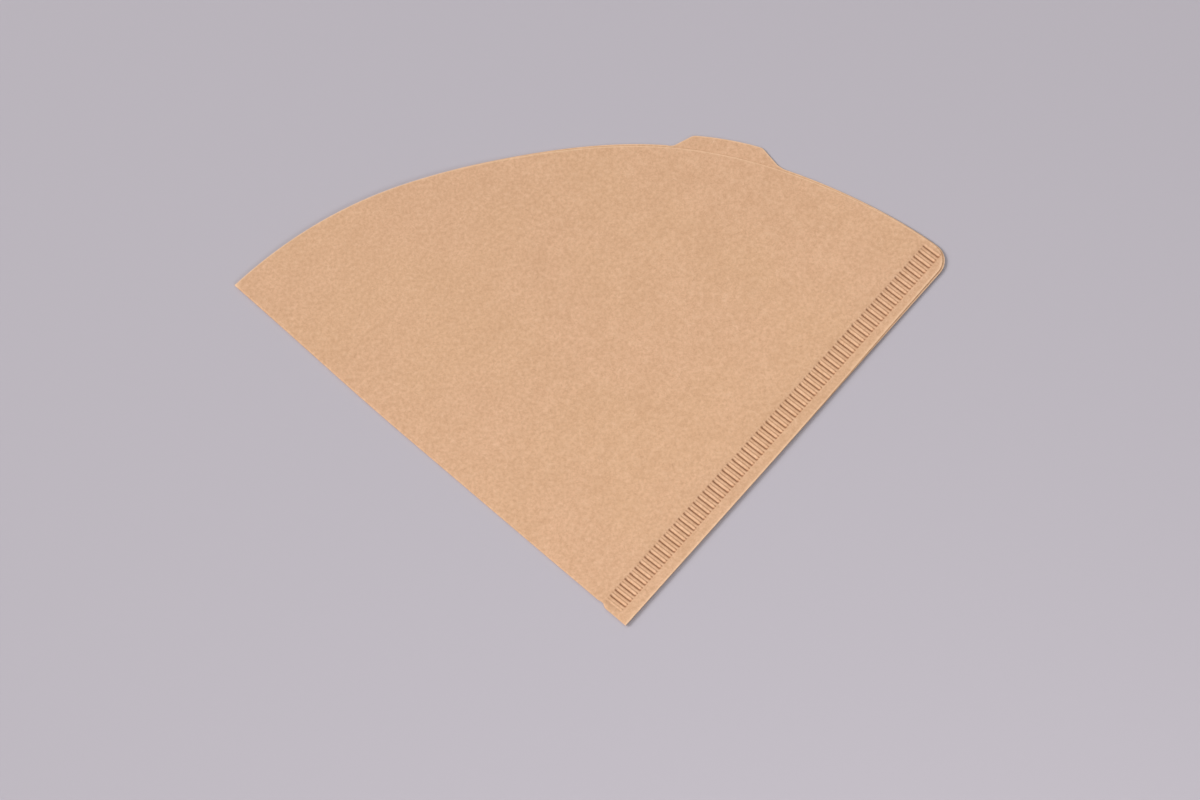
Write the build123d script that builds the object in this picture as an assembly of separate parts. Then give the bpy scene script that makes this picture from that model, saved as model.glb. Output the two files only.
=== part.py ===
from build123d import *
import os
from math import cos, floor, radians, sin, sqrt, tan

# Paper filter for a conical coffee dripper, folded flat as it comes from the pack.
# One die-cut sheet is folded once down the middle and its two free straight edges are crimped
# together, which leaves a flat cone: pointed at the bottom and open along the curved rim.
# Millimetres, +Z up. The lower ply lies on Z = 0, the point is towards -Y, the folded edge is
# on the -X side and the crimped seam on the +X side.

# paper and outline
PLY = 0.22  # thickness of the paper
APEX_ANGLE = 87.5  # between the folded edge and the outer edge of the seam
SLANT = 125.4  # from the point to the rim, along the middle of the filter
# distance from the point to the rim over SLANT, at equal angles from the fold to the seam
RIM_SHAPE = (1.037, 1.020, 1.000, 1.000, 0.995, 0.990)
CORNER_RADIUS = 5.0  # where the rim meets the seam
UPPER_RIM_STEP = 0.8  # the upper ply's rim falls short of the lower ply's, growing from the fold

# pull tab, on the lower ply only
TAB_ANGLE = 15.0  # from the middle of the filter towards the seam
TAB_ROOT_WIDTH = 26.3
TAB_TOP_WIDTH = 17.2
TAB_RISE = 3.3
TAB_CORNER_RADIUS = 1.6

# crimped seam: a row of embossed pads that run across it
SEAM_MARGIN = 3.15  # plain strip outside the pads
PAD_LENGTH = 5.1
PAD_PITCH = 1.833
PAD_GAP = 0.43  # between the feet of two pads
PAD_FLANK = 0.36  # slope of a pad's sides and ends, seen from above
PAD_RISE = 0.22
PAD_START = 2.3  # from the point to the first pad's middle
PAD_END_MARGIN = 0.8  # least distance from the last pad's foot to the rim

# pocket between the plies
FOLD_BEND = 0.2  # inside radius of the fold at the rim, none at the point
MOUTH_GAP = 1.2  # between the plies at the rim, where they stand furthest apart
ARCH_PEAK = 0.35  # where the upper ply stands highest, as a share of the way from fold to seam
ARCH_TOE = 0.02  # slope at which the plies part at the seam
POCKET_START = 0.5  # the pocket opens this far above the corner where its fold and seam meet

# working room, outside the finished sheet
CLEAR = 10.0

half = radians(APEX_ANGLE / 2)
fold_dir = Vector(-sin(half), cos(half), 0)
seam_dir = Vector(sin(half), cos(half), 0)
seam_in = Vector(-cos(half), sin(half), 0)  # across the seam, into the sheet
seam_width = SEAM_MARGIN + PAD_LENGTH
fold_top_y = SLANT * RIM_SHAPE[0] * cos(half)
seam_length = SLANT * RIM_SHAPE[-1]
far_y = SLANT * max(RIM_SHAPE) + CLEAR
tip_y = (seam_width + PLY) / (2 * sin(half))  # where the fold's centre line meets the seam's inner line
start_y = tip_y + POCKET_START
tall = MOUTH_GAP + CLEAR


def polar(radius, degrees):
    """A point at a distance from the filter's point, with its direction from +X."""
    return Vector(radius * cos(radians(degrees)), radius * sin(radians(degrees)), 0)


def rim_curve(step):
    """One ply's rim from the fold to the seam, short by a step that grows from the fold."""
    last = len(RIM_SHAPE) - 1
    points = []
    for i, share in enumerate(RIM_SHAPE):
        points.append(polar(SLANT * share - step * i / last, 90 + APEX_ANGLE * (0.5 - i / last)))
    return Spline(*points)


def outline(step):
    """The plan of one ply, which runs on past the fold so that the bend alone makes that edge."""
    rim = rim_curve(step)
    past_fold = -CLEAR * Vector(cos(half), sin(half), 0)
    edges = Polyline(rim @ 1, Vector(0, 0, 0), past_fold, rim @ 0 + past_fold, rim @ 0)
    plan = make_face([rim, *edges.edges()])
    seam_corner = plan.vertices().sort_by_distance(rim @ 1)[0]
    return fillet(seam_corner, CORNER_RADIUS)


def tab():
    """The plan of the pull tab, which starts on the lower ply's rim."""
    degrees = 90 - TAB_ANGLE
    ray = Line(Vector(0, 0, 0), polar(far_y, degrees))
    radius = (rim_curve(0).edge().intersect(ray.edge())[0].center()).length
    root_drop = radius - sqrt(radius**2 - (TAB_ROOT_WIDTH / 2) ** 2)
    points = [
        (-TAB_ROOT_WIDTH / 2, -TAB_RISE),
        (-TAB_ROOT_WIDTH / 2, -root_drop),
        (-TAB_TOP_WIDTH / 2, TAB_RISE),
        (TAB_TOP_WIDTH / 2, TAB_RISE),
        (TAB_ROOT_WIDTH / 2, -root_drop),
        (TAB_ROOT_WIDTH / 2, -TAB_RISE),
    ]
    plan = make_face(Polyline(*points, close=True))
    plan = fillet(plan.vertices().sort_by(Axis.Y)[-2:], TAB_CORNER_RADIUS)
    return Pos(polar(radius, degrees)) * Rot(0, 0, degrees - 90) * plan


def gap(y):
    """Height of the pocket's section at a distance up the filter."""
    return MOUTH_GAP * (y - tip_y) / (SLANT - tip_y)


def bend_radius(y):
    """Inside radius of the fold at a distance up the filter."""
    return FOLD_BEND * (y - tip_y) / (fold_top_y - tip_y)


def axis_x(y):
    """The fold's centre line, so that the outside of the bend follows the outline's straight edge."""
    return -y * tan(half) + (PLY + bend_radius(y)) / cos(half)


def seam_x(y):
    """The inner line of the seam, where the plies part."""
    return y * tan(half) - seam_width / cos(half)


def half_disc(y, radius, middle_z):
    """The fold's section in a plane across the filter, cut off at the fold's centre line."""
    plane = Plane(origin=(axis_x(y), y, middle_z), x_dir=(1, 0, 0), z_dir=(0, -1, 0))
    arc = EllipticalCenterArc((0, 0), radius / cos(half), radius, 90, arc_size=180)
    return plane * make_face([arc, Line(arc @ 1, arc @ 0)])


def arch(y):
    """The pocket's section from the fold's centre line to the seam."""
    left, right = axis_x(y), seam_x(y)
    foot = Vector(left, y, PLY)
    start = Vector(left, y, PLY + 2 * bend_radius(y))
    peak = Vector(left + (right - left) * ARCH_PEAK, y, PLY + gap(y))
    end = Vector(right, y, PLY)
    top = Spline(start, peak, end, tangents=[(1, 0, 0), (1, 0, -ARCH_TOE)])
    return make_face([top, Line(end, foot), Line(foot, start)])


def wedge():
    """The pocket without the inside of its fold: a flat cone that widens to the rim."""
    return loft([arch(start_y), arch(far_y)], ruled=True)


def pocket():
    """The empty space between the plies."""
    bend = [half_disc(y, bend_radius(y), PLY + bend_radius(y)) for y in (start_y, far_y)]
    return wedge() + loft(bend, ruled=True)


def outer_body():
    """Both plies with the pocket filled in, larger than the outline on every side but the fold."""
    near_y = -CLEAR
    near_x = axis_x(tip_y) + (tip_y - near_y) * tan(half)
    right_x = far_y * tan(half) + CLEAR
    corners = [
        (axis_x(far_y), far_y),
        (axis_x(tip_y), tip_y),
        (near_x, near_y),
        (right_x, near_y),
        (right_x, far_y),
    ]
    body = extrude(make_face(Polyline(*corners, close=True)), 2 * PLY)
    body += Pos(0, 0, PLY) * wedge()
    pressed = half_disc(tip_y, PLY, PLY)
    opened = half_disc(far_y, PLY + bend_radius(far_y), PLY + bend_radius(far_y))
    body += extrude(pressed, (tip_y - near_y) / cos(half), dir=-fold_dir)
    body += loft([pressed, opened], ruled=True)
    return body


def pads(base_z):
    """The row of embossed pads, with their feet at a height."""
    width = PAD_PITCH - PAD_GAP
    row_length = seam_length - PAD_START - width / 2 - PAD_END_MARGIN
    count = floor(row_length / PAD_PITCH) + 1
    foot = Rectangle(width, PAD_LENGTH)
    top = Pos(0, 0, PAD_RISE) * Rectangle(width - 2 * PAD_FLANK, PAD_LENGTH - 2 * PAD_FLANK)
    pad = loft([foot, top], ruled=True)
    across = seam_in * (SEAM_MARGIN + PAD_LENGTH / 2)
    row = []
    for i in range(count):
        place = across + seam_dir * (PAD_START + i * PAD_PITCH) + Vector(0, 0, base_z)
        row.append(Pos(place) * Rot(0, 0, 90 - APEX_ANGLE / 2) * pad)
    return row


def filter_sheet():
    """The folded and crimped sheet."""
    body = outer_body()
    lower = body & extrude(outline(0) + tab(), PLY)
    upper = body & Pos(0, 0, PLY) * extrude(outline(UPPER_RIM_STEP), tall)
    sheet = lower + upper - pocket()
    sheet = sheet + pads(2 * PLY)
    return sheet - pads(0)


sheet = filter_sheet()
middle = sheet.bounding_box().center()
os.makedirs("parts", exist_ok=True)
export_step(Pos(-middle.X, -middle.Y, 0) * sheet, "parts/filter_sheet.step")
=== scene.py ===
from math import asin, cos, pi, radians, sin, sqrt, tan

import bpy
import numpy as np
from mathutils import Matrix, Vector, noise
from mathutils.geometry import delaunay_2d_cdt


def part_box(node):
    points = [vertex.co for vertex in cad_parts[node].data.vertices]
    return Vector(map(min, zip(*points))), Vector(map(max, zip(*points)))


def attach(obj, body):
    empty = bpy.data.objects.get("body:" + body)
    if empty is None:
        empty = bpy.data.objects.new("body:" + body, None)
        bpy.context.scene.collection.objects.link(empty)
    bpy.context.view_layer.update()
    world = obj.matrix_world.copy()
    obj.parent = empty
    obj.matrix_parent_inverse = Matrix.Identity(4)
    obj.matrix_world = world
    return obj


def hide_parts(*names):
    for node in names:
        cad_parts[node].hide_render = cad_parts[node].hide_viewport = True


# A paper filter for a conical coffee dripper, folded flat, lying on a pale floor.
# The sheet is one closed mesh: the lower ply, the rolled fold and the upper ply, each with a real
# thickness. Lengths are in millimetres until a mesh, light or camera is made, and the plan is seen
# from above: the point at the bottom, the fold up the left side and the crimped seam up the right.

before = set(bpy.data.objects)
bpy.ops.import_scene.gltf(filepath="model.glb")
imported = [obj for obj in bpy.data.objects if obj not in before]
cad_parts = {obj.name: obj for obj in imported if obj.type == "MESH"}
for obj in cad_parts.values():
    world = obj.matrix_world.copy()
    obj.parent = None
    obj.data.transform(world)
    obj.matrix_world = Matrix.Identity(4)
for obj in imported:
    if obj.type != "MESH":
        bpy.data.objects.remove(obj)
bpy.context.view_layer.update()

NODE = "filter_sheet"
MM = 0.001  # metres

# cut and fold, close to the CAD node's
PLY = 0.22  # thickness of the paper
APEX_ANGLE = 87.5  # between the fold and the seam's outer edge
TIP_X = 3.08  # of the filter's point, from the middle of the box
SLANT = 125.4  # from the point to the rim
RIM_SHAPE = (1.034, 1.021, 1.001, 1.0045, 0.995, 0.990)  # rim radius over SLANT, from fold to seam
CORNER_RADIUS = 5.0  # where the rim meets the seam
UPPER_RIM_STEP = 0.65  # the upper ply's rim falls short by this much at the tab
UPPER_RIM_STEP_SHARE = 0.62  # how far round from the fold that is reached
UPPER_RIM_RETURN = 0.55  # share of it that the rim makes up again past the tab
UPPER_RIM_RETURN_START, UPPER_RIM_RETURN_SPAN = 0.74, 0.22  # where that happens, as shares of the way
TAB_ANGLE = 15.0  # from the middle of the filter towards the seam
TAB_ROOT_WIDTH = 26.3
TAB_TOP_WIDTH = 17.2
TAB_RISE = 3.2  # at its corners
TAB_CROWN = 0.5  # more in its middle
TAB_CROWN_REACH = 0.7  # share of its top that the crown's curve takes
TAB_CORNER_RADIUS = 2.4
TAB_ROOT_RADIUS = 3.0

# how the fold and the cut stray from straight lines
FOLD_OUT = 0.5  # the fold stands this far out, until it leans in towards the rim
FOLD_LEAN = 1.15
FOLD_LEAN_START, FOLD_LEAN_LENGTH = 72.0, 65.0
PRESSED_FOLD_OUT = 0.45  # the crimping wheels spread the fold by this much
PRESSED_FOLD_END = 6.9  # as far up the fold as this
PRESSED_FOLD_EASE = 1.4  # over this length
FOLD_PINCH = 0.2  # and draw it in just above
FOLD_PINCH_LENGTH = 0.9
SEAM_OUT = 0.3  # the seam's cut edge, which also leans in towards the rim
SEAM_LEAN = 0.25
UPPER_SEAM_STEP = 0.5  # the upper ply's seam edge leans in by more
SEAM_LEAN_START = 50.0

# crimped seam
SEAM_MARGIN = 2.5  # plain strip outside the grooves
GROOVE_LENGTH = 5.25
GROOVE_PITCH = 1.833
GROOVE_DEPTH = 0.27  # of the two plies together
GROOVE_PRESS = 0.10  # deeper on the outside of each ply, where the paper is pressed thinner
GROOVE_START = 0.81  # distance from the point to the middle of the first groove's first wall
GROOVE_END = 0.75  # length of a groove's sloping ends
GROOVE_FADE = 3.0  # the grooves come in over this distance from the point
GROOVE_RIM_MARGIN = 1.0  # they end this far from the rim, and their tone half as far
GROOVE_RIM_FADE = 1.5  # and fade over this length
SEAM_STAND = 1.2  # the seam stands up by this many times its bulge, to rest on its ridges
SEAM_SETTLE = 26.0  # the ply comes down from there over this distance

# one groove to the next, as shares of the pitch
GROOVE_WALL = 0.28  # width of a groove's wall
GROOVE_RETURN = 0.88  # share of its depth that a groove rises by at its far wall
CREASE_PLACE = 0.56  # a faint line between two grooves
CREASE_DEPTH = 0.22  # as a share of a groove's
CREASE_WIDTH = 0.065
CREASE_RETURN = 0.25  # length of the rest of the rise, past the crease

# how far grooves differ: in depth as a share, and in the places of their ends in millimetres
UNEVEN_DEPTH = 0.25
UNEVEN_OUTER_END = 0.25
UNEVEN_INNER_END = 0.35
UNEVEN_STEP = 0.73  # between two grooves in the noise
DEPTH_SEED, OUTER_END_SEED, INNER_END_SEED = 1.3, 5.1, 9.7

# painted shade and highlights of the crimp, over a slight darkening of the pressed paper: each stroke's
# place and half width as shares of the pitch, and its strength, which is below 0 where it paints a
# highlight
TONE_BASE = 0.22
TONE_STROKES = (
    (0.0, 0.12, 0.85),
    (0.29, 0.10, -0.6),
    (CREASE_PLACE - 0.04, CREASE_WIDTH, 0.425),
    (0.76, 0.08, -0.35),
)
TONE_END = 0.3  # length of the strokes' ends, sharper than the grooves'
CAP_STRENGTH = 0.8  # of the short line of painted shade that joins a groove's outer end to the next crease
CAP_EASE = 0.1  # share of the pitch over which that line comes in and ends

# pocket
FOLD_BEND = 0.2  # inside radius of the fold at the rim
MOUTH_GAP = 0.5  # between the plies at the rim, where they stand furthest apart
ARCH_PEAK = 0.25  # where the upper ply stands highest, as a share of the way from fold to seam
ARCH_FOOT = 0.62  # where it meets the lower ply again
CONTACT = 0.01  # between plies that are pressed together

# slight waves of the paper
LIFT = 0.10  # of the lower ply above the surface that it lies on
LIFT_SCALE = 42.0
LIFT_SEED = 3.7
WAVE = 0.09  # of the upper ply over the pocket
WAVE_GAP = 0.6  # it is full where the plies are this far apart, and less where they are closer
WAVE_SCALE = 26.0
WAVE_SEED = 8.1
TAB_CURL = 0.04

# mesh spacing
GROOVE_COLUMNS = 13  # from one groove to the next
GROOVE_END_ROWS = 3  # along a groove's sloping end
GROOVE_MIDDLE_ROWS = 2
MARGIN_SPACING = 0.9  # along the plain strips either side of the grooves
MARGIN_ROWS = (0.45, 0.75)  # across the outer strip, as shares of its width
RIM_SPACING = 1.0
GRID = 2.1
EDGE_ROW = 0.45  # a row of points this far inside the edges, where the painted highlight along them ends
FOLD_FINE, FOLD_COARSE = 0.22, 1.5  # along the fold
FOLD_FINE_END = 11.0  # the finer steps end past the crimp
ARC_POINTS = 6  # of a rounded corner of the tab
CORNER_POINTS = 12  # of the corner where the rim meets the seam
CROWN_POINTS = 12  # of the tab's crown
ROLL_SEGMENTS = 8  # round the fold
SHARP_ANGLE = 60  # degrees between faces above which their edge is shaded sharp
AREA_SAMPLES = 200  # points of the rim at which its radius is sampled
WELD = 1e-6  # points closer than this become one
INSIDE_FACES = 1  # the triangulation's mode that keeps what its outline holds

# least distance of the points from the outline, and of the coarser points from the crimp
CRIMP_CLEAR = 0.12
MARGIN_CLEAR = 0.4
EDGE_CLEAR = EDGE_ROW - 0.05
GRID_CLEAR = 1.6
BESIDE_CRIMP = 0.8
EDGE_FROM_CRIMP = 1.2
GRID_FROM_CRIMP = 2.2

half = radians(APEX_ANGLE / 2)
fold_up = np.array([-sin(half), cos(half)])
fold_in = np.array([cos(half), sin(half)])
seam_up = np.array([sin(half), cos(half)])
seam_in = np.array([-cos(half), sin(half)])
fold_length = SLANT * RIM_SHAPE[0]
seam_length = SLANT * RIM_SHAPE[-1]
seam_width = SEAM_MARGIN + GROOVE_LENGTH
pocket_y = (seam_width + PLY) / (2 * sin(half))  # height of the pocket's own point
node_low, node_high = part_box(NODE)
tip = np.array([TIP_X + (node_low.x + node_high.x) / 2 / MM, node_low.y / MM])


# --- plan -------------------------------------------------------------------------------------

def smooth(value):
    """Eases from 0 to 1 as the value goes from 0 to 1."""
    t = np.clip(value, 0, 1)
    return t * t * (3 - 2 * t)


def bump(value):
    """1 at 0, falling off smoothly either side."""
    return np.exp(-(value**2))


def polar(radius, angle):
    """A point of the plan, at a distance and a direction in radians from the filter's point."""
    return np.array([radius * cos(angle), radius * sin(angle)])


def spline_slopes(values):
    """Slopes of the natural cubic spline through evenly spaced values."""
    last = len(values) - 1
    matrix = 4 * np.eye(last + 1) + np.eye(last + 1, k=1) + np.eye(last + 1, k=-1)
    matrix[0, 0] = matrix[last, last] = 2
    ahead = np.append(values[1:], values[-1])
    behind = np.append(values[0], values[:-1])
    return np.linalg.solve(matrix, 3 * (ahead - behind))


RIM_SLOPES = spline_slopes(np.array(RIM_SHAPE))


def rim_radius(share, step=0.0):
    """Distance from the point to the rim, at a share of the way round from fold to seam."""
    last = len(RIM_SHAPE) - 1
    i = min(int(share * last), last - 1)
    t = share * last - i
    radius = (2 * t**3 - 3 * t**2 + 1) * RIM_SHAPE[i] + (t**3 - 2 * t**2 + t) * RIM_SLOPES[i]
    radius += (3 * t**2 - 2 * t**3) * RIM_SHAPE[i + 1] + (t**3 - t**2) * RIM_SLOPES[i + 1]
    shorter = smooth(share / UPPER_RIM_STEP_SHARE)
    regained = UPPER_RIM_RETURN * smooth((share - UPPER_RIM_RETURN_START) / UPPER_RIM_RETURN_SPAN)
    return SLANT * radius - step * (shorter - regained)


def share_angle(share):
    """Direction of a rim point, in radians."""
    return radians(90 + APEX_ANGLE * (0.5 - share))


def fold_out(c):
    """How far the folded edge stands out of its straight line, at a distance up it."""
    lean = FOLD_LEAN * smooth((c - FOLD_LEAN_START) / FOLD_LEAN_LENGTH)
    past_pressed = c - PRESSED_FOLD_END
    pressed = PRESSED_FOLD_OUT * (1 - smooth(past_pressed / PRESSED_FOLD_EASE + 0.5))
    pinch = FOLD_PINCH * bump(past_pressed / FOLD_PINCH_LENGTH - 1)
    return FOLD_OUT - lean + pressed - pinch


def seam_out(a, step=0.0):
    """How far the seam's cut edge stands out of its straight line, at a distance up it."""
    lean = smooth((a - SEAM_LEAN_START) / (seam_length - SEAM_LEAN_START))
    return SEAM_OUT - (SEAM_LEAN + step) * lean


def bend_radius(c):
    """Inside radius of the fold at a distance up it."""
    return FOLD_BEND * np.clip((c - seam_width) / (fold_length - seam_width), 0, 1)


def roll_radius(c):
    """Outside radius of the fold at a distance up it."""
    return PLY + CONTACT / 2 + bend_radius(c)


def axis_points():
    """The line that the fold rolls round, from the point to the rim, with finer steps in the crimp.

    It starts on the seam's cut edge, which makes the filter's point.
    """
    stations = np.concatenate([
        np.arange(-SEAM_OUT, FOLD_FINE_END, FOLD_FINE),
        np.arange(FOLD_FINE_END, fold_length - FOLD_COARSE / 2, FOLD_COARSE),
        [fold_length],
    ])
    inset = roll_radius(stations) - fold_out(stations)
    return tip + stations[:, None] * fold_up + inset[:, None] * fold_in


def rounded(before, corner, after, radius):
    """The points of an arc that rounds a corner."""
    back = (before - corner) / np.linalg.norm(before - corner)
    ahead = (after - corner) / np.linalg.norm(after - corner)
    angle = np.arccos(np.dot(back, ahead))
    bisector = (back + ahead) / np.linalg.norm(back + ahead)
    centre = corner + bisector * radius / sin(angle / 2)
    start = corner + back * radius / tan(angle / 2) - centre
    end = corner + ahead * radius / tan(angle / 2) - centre
    turn = np.arctan2(start[0] * end[1] - start[1] * end[0], np.dot(start, end))
    points = []
    for t in np.linspace(0, turn, ARC_POINTS):
        x = start[0] * cos(t) - start[1] * sin(t)
        y = start[0] * sin(t) + start[1] * cos(t)
        points.append(centre + [x, y])
    return points


def tab_place():
    """Where the tab's middle lies on the rim, and its direction across and outwards."""
    angle = radians(90 - TAB_ANGLE)
    outwards = np.array([cos(angle), sin(angle)])
    across = np.array([sin(angle), -cos(angle)])
    middle = tip + outwards * rim_radius(0.5 + TAB_ANGLE / APEX_ANGLE)
    return middle, across, outwards


def tab_points(rim_before, rim_after):
    """The tab's outline from its seam side to its fold side, blended into the rim."""
    middle, across, outwards = tab_place()
    radius = np.linalg.norm(middle - tip)
    root_drop = radius - sqrt(radius**2 - (TAB_ROOT_WIDTH / 2) ** 2)
    corners = [
        middle + across * TAB_ROOT_WIDTH / 2 - outwards * root_drop,
        middle + across * TAB_TOP_WIDTH / 2 + outwards * TAB_RISE,
        middle - across * TAB_TOP_WIDTH / 2 + outwards * TAB_RISE,
        middle - across * TAB_ROOT_WIDTH / 2 - outwards * root_drop,
    ]
    crown = []
    for t in np.linspace(-TAB_CROWN_REACH, TAB_CROWN_REACH, CROWN_POINTS):
        side = across * t * -TAB_TOP_WIDTH / 2
        crown.append(middle + side + outwards * (TAB_RISE + TAB_CROWN * (1 - t * t)))
    points = rounded(rim_before, corners[0], corners[1], TAB_ROOT_RADIUS)
    points += rounded(corners[0], corners[1], crown[0], TAB_CORNER_RADIUS)
    points += crown
    points += rounded(crown[-1], corners[2], corners[3], TAB_CORNER_RADIUS)
    points += rounded(corners[2], corners[3], rim_after, TAB_ROOT_RADIUS)
    return points


def edge_points(rim_step, seam_step, with_tab):
    """One ply's cut edge, from the filter's point up the seam and back along the rim to the fold."""
    centre_radius = rim_radius(1, rim_step) - CORNER_RADIUS
    inset = CORNER_RADIUS - seam_out(seam_length, seam_step)
    seam_angle = radians(90 - APEX_ANGLE / 2)
    centre_angle = seam_angle + asin(inset / centre_radius)
    centre = tip + polar(centre_radius, centre_angle)
    reach = np.dot(centre - tip, seam_up)
    points = []
    for a in np.linspace(0, reach, int(reach / RIM_SPACING))[1:-1]:
        points.append(tip + a * seam_up - seam_out(a, seam_step) * seam_in)
    for t in np.linspace(seam_angle - pi / 2, centre_angle, CORNER_POINTS):
        points.append(centre + polar(CORNER_RADIUS, t))
    last_share = (radians(90 + APEX_ANGLE / 2) - centre_angle) / radians(APEX_ANGLE)
    count = int(last_share * seam_length * 2 * half / RIM_SPACING)
    rim = []
    for share in np.linspace(last_share, 0, count)[1:-1]:
        rim.append(tip + polar(rim_radius(share, rim_step), share_angle(share)))
    if not with_tab:
        return np.array(points + rim)
    middle, across, _ = tab_place()
    offsets = [np.dot(p - middle, across) for p in rim]
    reach = TAB_ROOT_WIDTH / 2 + RIM_SPACING
    right = [p for p, offset in zip(rim, offsets) if offset > reach]
    left = [p for p, offset in zip(rim, offsets) if offset < -reach]
    return np.array(points + right + tab_points(right[-1], left[0]) + left)


# --- heights ----------------------------------------------------------------------------------

def waves(points, scale, seed):
    """Smooth noise between -1 and 1 over points of the plan."""
    return np.array([noise.noise(Vector((x / scale, y / scale, seed))) for x, y in points])


def uneven(number, seed):
    """Smooth noise between -1 and 1 for each numbered groove."""
    return np.array([noise.noise(Vector((UNEVEN_STEP * n, seed, 0))) for n in number])


def groove_profile(phase):
    """Depth from 0 to 1 along the crimp, from one groove to the next."""
    wall = GROOVE_WALL / 2
    fall = smooth((phase + wall) / GROOVE_WALL)
    rise = GROOVE_RETURN * smooth((phase - wall) / GROOVE_WALL)
    rise += (1 - GROOVE_RETURN) * smooth((phase - CREASE_PLACE) / CREASE_RETURN)
    crease = CREASE_DEPTH * bump((phase - CREASE_PLACE) / CREASE_WIDTH)
    return np.where(phase < wall, fall, 1 - rise + crease)


def groove_phase(points, lead):
    """Each point's groove number and its place from that groove to the next, from a lead before it."""
    turns = ((points - tip) @ seam_up - GROOVE_START) / GROOVE_PITCH + lead
    return np.floor(turns), turns % 1 - lead


def groove_fade(points, rim_margin):
    """1 along the crimp, easing to 0 at the point and at a margin short of the rim."""
    to_rim = seam_length - rim_margin - np.linalg.norm(points - tip, axis=1)
    return smooth((points - tip) @ seam_up / GROOVE_FADE) * smooth(to_rim / GROOVE_RIM_FADE)


def grooves(points):
    """Depth of the crimp's grooves from 0 to 1 at points of the plan. No two are quite alike."""
    number, phase = groove_phase(points, GROOVE_WALL / 2)
    b = (points - tip) @ seam_in
    strength = 1 + UNEVEN_DEPTH * uneven(number, DEPTH_SEED)
    outer = b - SEAM_MARGIN - UNEVEN_OUTER_END * uneven(number, OUTER_END_SEED)
    inner = b - seam_width + GROOVE_END - UNEVEN_INNER_END * uneven(number, INNER_END_SEED)
    ends = smooth(outer / GROOVE_END) * (1 - smooth(inner / GROOVE_END))
    return strength * groove_profile(phase) * ends * groove_fade(points, GROOVE_RIM_MARGIN)


def crimp_shading(points):
    """Painted shade and highlights of the crimp, over a slight darkening of the pressed paper: 1 where
    it paints shade, below 0 where it paints a highlight.
    """
    _, phase = groove_phase(points, GROOVE_WALL)
    b = (points - tip) @ seam_in
    tone = TONE_BASE
    for place, width, strength in TONE_STROKES:
        tone = tone + strength * bump((phase - place) / width)
    past_crease = smooth((phase - CREASE_PLACE + CAP_EASE) / CAP_EASE)
    cap = CAP_STRENGTH * smooth(phase / CAP_EASE) * (1 - past_crease)
    tone = tone + cap * bump((b - SEAM_MARGIN - TONE_END) / TONE_END)
    ends = smooth((b - SEAM_MARGIN) / TONE_END) * (1 - smooth((b - seam_width + TONE_END) / TONE_END))
    return tone * ends * groove_fade(points, GROOVE_RIM_MARGIN / 2)


def lower_height(points):
    """Height of the lower ply's underside."""
    lift = LIFT * (0.5 + 0.5 * waves(points, LIFT_SCALE, LIFT_SEED))
    middle, across, outwards = tab_place()
    beyond = (points - middle) @ outwards / TAB_RISE
    curl = TAB_CURL * smooth(beyond) * (np.abs((points - middle) @ across) < TAB_ROOT_WIDTH / 2)
    settled = smooth(((points - tip) @ seam_in - seam_width) / SEAM_SETTLE)
    stand = SEAM_STAND * (GROOVE_DEPTH - GROOVE_PRESS) * (1 - settled)
    return lift + curl + stand - GROOVE_DEPTH * grooves(points)


def press_depth(points, stations):
    """How much thinner a ply is pressed at its points, of which the first lie on the fold."""
    depth = GROOVE_PRESS * grooves(points)
    depth[:stations] = 0
    return depth


def pocket_gap(points):
    """Clear height between the plies."""
    x, y = (points - tip).T
    rise = np.clip((y - pocket_y) / (SLANT - pocket_y), 0, None)
    left = -y * tan(half) + roll_radius(y / cos(half)) / cos(half)
    right = y * tan(half) - seam_width / cos(half)
    width = np.maximum(right - left, PLY)
    share = np.clip((x - left) / width, 0, 1)
    start = 2 * FOLD_BEND * rise
    peak = MOUTH_GAP * rise
    up = smooth(share / ARCH_PEAK)
    down = smooth((share - ARCH_PEAK) / (ARCH_FOOT - ARCH_PEAK))
    return np.where(share < ARCH_PEAK, start + (peak - start) * up, peak * (1 - down))


def upper_height(points):
    """Height of the upper ply's underside."""
    gap = pocket_gap(points)
    wave = WAVE * waves(points, WAVE_SCALE, WAVE_SEED) * np.clip(gap / WAVE_GAP, 0, 1)
    return lower_height(points) + PLY + CONTACT + gap + wave


# --- mesh -------------------------------------------------------------------------------------

def inside(points, loop):
    """True for the points of the plan that lie inside a closed loop."""
    result = np.zeros(len(points), bool)
    x, y = points.T
    for (x0, y0), (x1, y1) in zip(loop, np.roll(loop, -1, axis=0)):
        crosses = (y0 > y) != (y1 > y)
        if y0 != y1:
            result ^= crosses & (x < x0 + (y - y0) * (x1 - x0) / (y1 - y0))
    return result


def edge_distance(points, loop):
    """Distance of each point of the plan from a closed loop."""
    nearest = np.full(len(points), 1e9)
    for start, end in zip(loop, np.roll(loop, -1, axis=0)):
        along = end - start
        t = np.clip((points - start) @ along / (along @ along), 0, 1)
        gap = points - start - t[:, None] * along
        nearest = np.minimum(nearest, np.einsum("ij,ij->i", gap, gap))
    return np.sqrt(nearest)


def grid_points(columns, rows, right, up):
    """A grid of points along two directions of the plan, measured from the filter's point."""
    across, along = np.meshgrid(columns, rows)
    return tip + across.reshape(-1, 1) * right + along.reshape(-1, 1) * up


def crimp_points():
    """The fine points of the crimp: columns along it, and rows that follow the grooves' ends."""
    row = GROOVE_END / GROOVE_END_ROWS
    middle = np.linspace(SEAM_MARGIN + GROOVE_END, seam_width - GROOVE_END, GROOVE_MIDDLE_ROWS + 2)
    rows = np.concatenate([
        SEAM_MARGIN + row * np.arange(-1, GROOVE_END_ROWS + 1),
        middle[1:-1],
        seam_width - row * np.arange(-1, GROOVE_END_ROWS + 1),
    ])
    columns = np.arange(0, seam_length + CORNER_RADIUS, GROOVE_PITCH / GROOVE_COLUMNS)
    return grid_points(columns + GROOVE_START % GROOVE_PITCH, rows, seam_up, seam_in)


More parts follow.
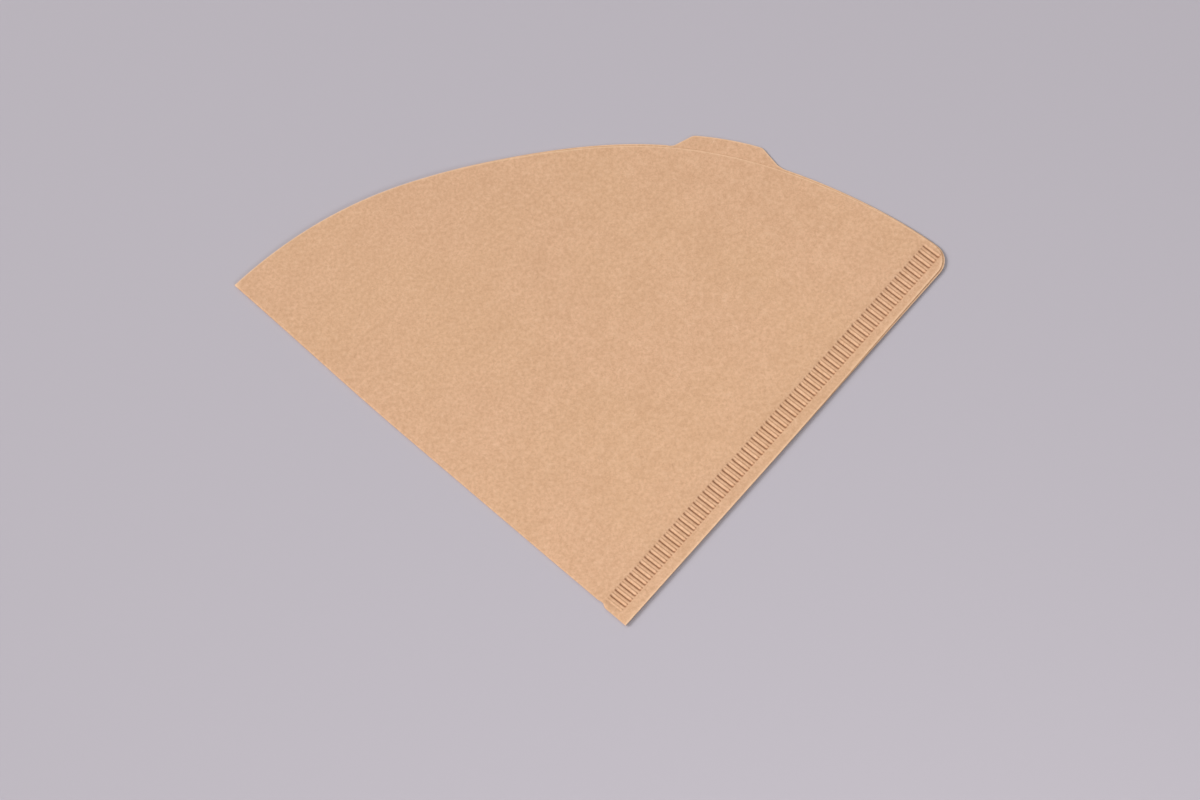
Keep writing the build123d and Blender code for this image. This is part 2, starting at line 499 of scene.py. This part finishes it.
def edge_row_points(loop):
    """A row of points just inside the fold and the rim."""
    ahead = np.roll(loop, -1, axis=0) - np.roll(loop, 1, axis=0)
    inwards = np.stack([-ahead[:, 1], ahead[:, 0]], axis=1) / np.linalg.norm(ahead, axis=1)[:, None]
    row = loop + EDGE_ROW * inwards
    return row[(row - tip) @ seam_in > seam_width + EDGE_FROM_CRIMP]


def fill_points(loop):
    """Points inside one ply, fine in the crimp and coarse elsewhere."""
    columns = np.arange(0, seam_length + CORNER_RADIUS, MARGIN_SPACING)
    margin_rows = np.array([EDGE_ROW] + [SEAM_MARGIN * share for share in MARGIN_ROWS])
    spans = np.arange(-seam_length, seam_length, GRID)
    grid_rows = np.arange(seam_width + GRID_FROM_CRIMP, fold_length, GRID)
    groups = (
        (crimp_points(), CRIMP_CLEAR),
        (grid_points(columns, margin_rows, seam_up, seam_in), MARGIN_CLEAR),
        (grid_points(columns, np.array([seam_width + BESIDE_CRIMP]), seam_up, seam_in), MARGIN_CLEAR),
        (edge_row_points(loop), EDGE_CLEAR),
        (grid_points(spans, grid_rows, seam_up, seam_in), GRID_CLEAR),
    )
    kept = []
    for points, clear in groups:
        points = points[inside(points, loop)]
        kept.append(points[edge_distance(points, loop) > clear])
    return np.concatenate(kept)


def plan_mesh(edge, axis):
    """Triangles of one ply: its points, with the fold's axis first and then the edge, and its faces."""
    loop = np.concatenate([axis[::-1], edge])
    points = [Vector(p) for p in np.concatenate([loop, fill_points(loop)])]
    count = len(loop)
    sides = [(i, (i + 1) % count) for i in range(count)]
    found = delaunay_2d_cdt(points, sides, [], INSIDE_FACES, WELD)
    return np.array([v[:] for v in found[0]]), np.array(found[2])


def roll_mesh(axis, low, high):
    """The fold: rings of points round the axis from the lower ply to the upper one, out and in."""
    middle = (low + high) / 2
    outer = (high - low) / 2
    rings = []
    for radius in (outer, outer - PLY):
        ring = []
        for k in range(1, ROLL_SEGMENTS):
            angle = -pi / 2 + pi * k / ROLL_SEGMENTS
            place = axis - (radius * cos(angle))[:, None] * fold_in
            ring.append(np.column_stack([place, middle + radius * sin(angle)]))
        rings.append(np.array(ring))
    return rings


def strip_faces(rows):
    """Quads between rows of point numbers, where each row follows the last round the fold."""
    faces = []
    for lower, upper in zip(rows, rows[1:]):
        for i in range(len(lower) - 1):
            faces.append((lower[i], lower[i + 1], upper[i + 1], upper[i]))
    return faces


def edge_walls(faces, count):
    """Quads that join the outside's open edges to the inside's, whose points are numbered on."""
    seen = set()
    for face in faces:
        for a, b in zip(face, face[1:] + face[:1]):
            seen.add((a, b))
    return [(b, a, a + count, b + count) for a, b in seen if (b, a) not in seen]


def sheet_surface():
    """The folded sheet's outside and inside points, with the faces of the outside."""
    axis = axis_points()
    lower, lower_faces = plan_mesh(edge_points(0, 0, True), axis)
    upper, upper_faces = plan_mesh(edge_points(UPPER_RIM_STEP, UPPER_SEAM_STEP, False), axis)
    low = lower_height(lower)
    high = upper_height(upper)
    stations = len(axis)
    roll_out, roll_in = roll_mesh(axis[::-1], low[:stations], high[:stations] + PLY)
    under = low + press_depth(lower, stations)
    over = high + PLY - press_depth(upper, stations)
    outside = [np.column_stack([lower, under]), np.column_stack([upper, over]), roll_out.reshape(-1, 3)]
    inner = [np.column_stack([lower, low + PLY]), np.column_stack([upper, high]), roll_in.reshape(-1, 3)]
    upper_start = len(lower)
    roll_start = upper_start + len(upper)
    rows = [np.arange(stations)]
    for k in range(ROLL_SEGMENTS - 1):
        rows.append(roll_start + k * stations + np.arange(stations))
    rows.append(upper_start + np.arange(stations))
    faces = [tuple(f[::-1]) for f in lower_faces.tolist()]
    faces += [tuple(f) for f in (upper_faces + upper_start).tolist()]
    faces += [tuple(int(i) for i in f) for f in strip_faces(rows)]
    return np.concatenate(outside), np.concatenate(inner), faces


def highlight_edges(points, walls):
    """1 on the cut edges and 0 elsewhere, for the painted highlight along them."""
    tone = np.zeros(len(points))
    tone[np.unique(np.array(walls))] = 1
    return tone


def add_attribute(mesh, name, values):
    """A number at each point, for the material."""
    layer = mesh.attributes.new(name, "FLOAT", "POINT")
    layer.data.foreach_set("value", np.asarray(values, np.float32))


def filter_piece():
    """The folded sheet as one closed mesh."""
    outside, inner, faces = sheet_surface()
    count = len(outside)
    points = np.concatenate([outside, inner])
    walls = edge_walls(faces, count)
    turned = [tuple(i + count for i in face[::-1]) for face in faces]
    mesh = bpy.data.meshes.new(NODE + "_paper")
    mesh.from_pydata((points * MM).tolist(), [], faces + turned + walls)
    mesh.polygons.foreach_set("use_smooth", np.ones(len(mesh.polygons), bool))
    mesh.set_sharp_from_angle(angle=radians(SHARP_ANGLE))
    plan = points[:, :2]
    # painted shade and highlights of the crimp, with a slight darkening of the pressed paper
    add_attribute(mesh, "pressed", crimp_shading(plan))
    # painted highlight along the cut edges
    add_attribute(mesh, "edge_highlight", highlight_edges(points, walls))
    mesh.update()
    piece = bpy.data.objects.new("folded_paper", mesh)
    bpy.context.scene.collection.objects.link(piece)
    return piece


# --- materials --------------------------------------------------------------------------------

# colours in display values from 0 to 255
PAPER = (221, 177, 143)
PAPER_BLOTCH = (220, 177, 141)
CLOUD = (200, 157, 122)
GRAIN = (198, 154, 119)
# painted shade in the hollows of the crepe and the mottle
HOLLOW_SHADE = (190, 146, 110)
FLECK = (238, 200, 166)
PALE_FIBRE = (238, 205, 174)
DARK_FIBRE = (160, 116, 82)
# painted highlight along the cut edges
EDGE_HIGHLIGHT = (248, 212, 174)
# painted shade of the crimp, partly the darker tone of pressed paper
PRESSED_AND_SHADE = (150, 100, 68)
# painted highlight on the crimp's lit slopes
CRIMP_HIGHLIGHT = (250, 216, 184)
FLOOR = (183, 177, 185)

# noise cells in a metre
BLOTCH_SCALE = 28
CLOUD_SCALE = 120
GRAIN_SCALE = 2300
MOTTLE_SCALE = 1150
CREPE_SCALE = 520
COARSE_CREPE_SCALE = 240
FIBRE_SCALE = 5200

CREPE_ANGLE = 90 - APEX_ANGLE / 2  # the crepe runs along the seam, in degrees from +X
CREPE_STRETCH = (5, 1, 1)
FIBRE_ANGLES = (12, 58, 101, 149)
FIBRE_STRETCH = (11, 1, 1)
RELIEF = 0.06  # height of the paper's fine relief
CREPE_RELIEF = 0.8  # the crepe's share of it, where the mottle's is 1


def new_material(name):
    """A node material, with its nodes, its links and its shader."""
    material = bpy.data.materials.new(name)
    material.use_nodes = True
    nodes = material.node_tree.nodes
    return material, nodes, material.node_tree.links, nodes["Principled BSDF"]


def srgb(colour):
    """A colour given in 0 to 255 display values, as linear RGBA."""
    linear = []
    for value in colour:
        share = value / 255
        linear.append(share / 12.92 if share <= 0.04045 else ((share + 0.055) / 1.055) ** 2.4)
    return (*linear, 1.0)


def noise_node(nodes, links, place, scale, detail=2.0, roughness=0.5):
    """A noise texture over a mapped place, with an output from 0 to 1."""
    node = nodes.new("ShaderNodeTexNoise")
    node.inputs["Scale"].default_value = scale
    node.inputs["Detail"].default_value = detail
    node.inputs["Roughness"].default_value = roughness
    links.new(place, node.inputs["Vector"])
    return node.outputs["Fac"]


def turned_place(nodes, links, angle, scale):
    """Object coordinates turned about Z by an angle in degrees and stretched."""
    coordinates = nodes.new("ShaderNodeTexCoord")
    mapping = nodes.new("ShaderNodeMapping")
    mapping.vector_type = "TEXTURE"
    mapping.inputs["Rotation"].default_value = (0, 0, radians(angle))
    mapping.inputs["Scale"].default_value = scale
    links.new(coordinates.outputs["Object"], mapping.inputs["Vector"])
    return mapping.outputs["Vector"]


def ramp(nodes, links, value, low, high, end=1.0):
    """Eases from 0 to an end value as a value goes from low to high."""
    node = nodes.new("ShaderNodeMapRange")
    node.interpolation_type = "SMOOTHSTEP"
    node.inputs["From Min"].default_value = low
    node.inputs["From Max"].default_value = high
    node.inputs["To Min"].default_value = 0.0
    node.inputs["To Max"].default_value = end
    links.new(value, node.inputs["Value"])
    return node.outputs["Result"]


def math_node(nodes, links, operation, first, second):
    """Arithmetic on two values, each a socket or a number."""
    node = nodes.new("ShaderNodeMath")
    node.operation = operation
    for socket, value in zip(node.inputs, (first, second)):
        if isinstance(value, (int, float)):
            socket.default_value = value
        else:
            links.new(value, socket)
    return node.outputs["Value"]


def mix_colour(nodes, links, amount, first, second):
    """Mixes two colours, each a socket or an RGBA."""
    node = nodes.new("ShaderNodeMix")
    node.data_type = "RGBA"
    links.new(amount, node.inputs["Factor"])
    for name, value in (("A", first), ("B", second)):
        socket = [s for s in node.inputs if s.name == name and s.type == "RGBA"][0]
        if isinstance(value, tuple):
            socket.default_value = value
        else:
            links.new(value, socket)
    return [s for s in node.outputs if s.type == "RGBA"][0]


def attribute_value(nodes, name):
    """A number stored on the mesh's points."""
    node = nodes.new("ShaderNodeAttribute")
    node.attribute_name = name
    return node.outputs["Fac"]


def tinted(nodes, links, colour, mask, low, high, strength, tint):
    """A colour that is tinted up to a strength as a mask goes from low to high."""
    amount = ramp(nodes, links, mask, low, high, strength)
    return mix_colour(nodes, links, amount, colour, srgb(tint))


def fibre_colour(nodes, links, colour):
    """Adds pale and dark fibres that lie in several directions."""
    for angle in FIBRE_ANGLES:
        place = turned_place(nodes, links, angle, FIBRE_STRETCH)
        fibres = noise_node(nodes, links, place, FIBRE_SCALE, 1)
        colour = tinted(nodes, links, colour, fibres, 0.70, 0.78, 0.28, PALE_FIBRE)
        colour = tinted(nodes, links, colour, fibres, 0.30, 0.22, 0.28, DARK_FIBRE)
    return colour


def painted_edge_and_crimp_light(nodes, links, colour):
    """Adds the painted highlight along the cut edges, and the crimp's painted shade and highlights over
    the darker tone of its pressed paper.
    """
    colour = tinted(nodes, links, colour, attribute_value(nodes, "edge_highlight"), 0, 1, 0.45, EDGE_HIGHLIGHT)
    # painted shade of the crimp where the pressed value is above 0, painted highlight where it is below
    # 0
    pressed = attribute_value(nodes, "pressed")
    colour = tinted(nodes, links, colour, pressed, 0, 1, 0.8, PRESSED_AND_SHADE)
    return tinted(nodes, links, colour, pressed, 0, -1, 0.7, CRIMP_HIGHLIGHT)


def paper_relief(nodes, links, shader, mottle, crepe, coarse_crepe):
    """Joins the paper's fine relief to the shader."""
    creases = math_node(nodes, links, "ADD", crepe, coarse_crepe)
    creases = math_node(nodes, links, "MULTIPLY", creases, CREPE_RELIEF)
    relief = math_node(nodes, links, "ADD", mottle, creases)
    surface = nodes.new("ShaderNodeBump")
    surface.inputs["Distance"].default_value = RELIEF * MM
    surface.inputs["Strength"].default_value = 0.5
    links.new(relief, surface.inputs["Height"])
    links.new(surface.outputs["Normal"], shader.inputs["Normal"])


def paper_material():
    """Unbleached creped filter paper."""
    material, nodes, links, shader = new_material("kraft_paper")
    plain = turned_place(nodes, links, 0, (1, 1, 1))
    along = turned_place(nodes, links, CREPE_ANGLE, CREPE_STRETCH)
    blotches = noise_node(nodes, links, plain, BLOTCH_SCALE)
    clouds = noise_node(nodes, links, plain, CLOUD_SCALE)
    grain = noise_node(nodes, links, plain, GRAIN_SCALE, 1)
    mottle = noise_node(nodes, links, plain, MOTTLE_SCALE, 3)
    crepe = noise_node(nodes, links, along, CREPE_SCALE, 3, 0.55)
    coarse_crepe = noise_node(nodes, links, along, COARSE_CREPE_SCALE)
    # each tint's mask, the values between which it comes in, its strength and its colour
    tints = (
        (blotches, 0.35, 0.65, 1.0, PAPER_BLOTCH),
        (clouds, 0.35, 0.65, 0.15, CLOUD),
        (grain, 0.35, 0.65, 0.6, GRAIN),
        # painted shade: the crepe's and the mottle's low places, which are the relief's hollows, are
        # darker
        (crepe, 0.58, 0.38, 0.12, HOLLOW_SHADE),
        (mottle, 0.55, 0.25, 0.2, HOLLOW_SHADE),
        (mottle, 0.45, 0.75, 0.28, FLECK),
    )
    colour = srgb(PAPER)
    for mask, low, high, strength, tint in tints:
        colour = tinted(nodes, links, colour, mask, low, high, strength, tint)
    colour = painted_edge_and_crimp_light(nodes, links, fibre_colour(nodes, links, colour))
    links.new(colour, shader.inputs["Base Color"])
    paper_relief(nodes, links, shader, mottle, crepe, coarse_crepe)
    shader.inputs["Roughness"].default_value = 0.88
    shader.inputs["Specular IOR Level"].default_value = 0.25
    return material


def floor_material():
    """A plain pale floor."""
    material, _, _, shader = new_material("floor")
    shader.inputs["Base Color"].default_value = srgb(FLOOR)
    shader.inputs["Roughness"].default_value = 0.6
    return material


# --- stage ------------------------------------------------------------------------------------

CAMERA_AZIMUTH = -3.885  # degrees round from -Y
CAMERA_ELEVATION = 67.0
CAMERA_DISTANCE = 1865.0
CAMERA_LENS = 231.4
VIEW_CENTRE = (0.52, -5.04)  # from the middle of the filter's box

FLOOR_SIZE = 4.0  # metres
FLOOR_DROP = 0.02  # millimetres below the filter's lowest point

# each lamp's azimuth and elevation in degrees, distance and width in metres, and power in watts
LAMPS = {
    "key": (-102, 32, 6.0, 2.6, 340),
    "back": (175, 50, 3.0, 1.4, 10),
    "front": (15, 40, 0.55, 0.25, 0.96),
}
WORLD_STRENGTH = 0.30


def centre_point(x=0.0, y=0.0):
    """A point measured in millimetres from the middle of the filter's underside, in metres."""
    middle = (node_low + node_high) / 2
    return Vector((middle.x + x * MM, middle.y + y * MM, node_low.z))


def direction(azimuth, elevation):
    """A direction outwards; azimuth 0 is -Y, and 90 is +X."""
    a, e = radians(azimuth), radians(elevation)
    return Vector((sin(a) * cos(e), -cos(a) * cos(e), sin(e)))


def aim(thing, target):
    """Turns a lamp or camera to look at a point."""
    thing.rotation_euler = (target - thing.location).to_track_quat("-Z", "Y").to_euler()


def add_camera():
    """A camera with a long lens, high in front of the filter's point."""
    camera = bpy.data.objects.new("camera", bpy.data.cameras.new("camera"))
    target = centre_point(*VIEW_CENTRE)
    camera.location = target + direction(CAMERA_AZIMUTH, CAMERA_ELEVATION) * CAMERA_DISTANCE * MM
    aim(camera, target)
    camera.data.lens = CAMERA_LENS
    camera.data.clip_end = 20
    bpy.context.scene.collection.objects.link(camera)
    bpy.context.scene.camera = camera


def add_area(name, azimuth, elevation, distance, size, power):
    """A square soft lamp, aimed at the filter."""
    lamp = bpy.data.objects.new(name, bpy.data.lights.new(name, "AREA"))
    lamp.data.size = size
    lamp.data.energy = power
    lamp.location = centre_point() + direction(azimuth, elevation) * distance
    aim(lamp, centre_point())
    bpy.context.scene.collection.objects.link(lamp)


def add_floor():
    """The floor under the filter, which belongs to the picture only."""
    mesh = bpy.data.meshes.new("floor")
    reach = FLOOR_SIZE / 2
    z = node_low.z - FLOOR_DROP * MM
    corners = [(-reach, -reach, z), (reach, -reach, z), (reach, reach, z), (-reach, reach, z)]
    mesh.from_pydata(corners, [], [(0, 1, 2, 3)])
    mesh.materials.append(floor_material())
    floor = bpy.data.objects.new("floor", mesh)
    bpy.context.scene.collection.objects.link(floor)


def add_world(strength):
    """An even white light from all round."""
    world = bpy.data.worlds.new("studio")
    world.use_nodes = True
    background = world.node_tree.nodes["Background"]
    background.inputs["Color"].default_value = (1, 1, 1, 1)
    background.inputs["Strength"].default_value = strength
    bpy.context.scene.world = world


# --- build ------------------------------------------------------------------------------------

paper = filter_piece()
paper.data.materials.append(paper_material())
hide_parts(NODE)
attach(paper, "root")
rim_radii = [rim_radius(share) for share in np.linspace(0, 1, AREA_SAMPLES)]

add_floor()
add_world(WORLD_STRENGTH)
for name, lamp in LAMPS.items():
    add_area(name, *lamp)
add_camera()
bpy.context.scene.view_settings.view_transform = "Standard"
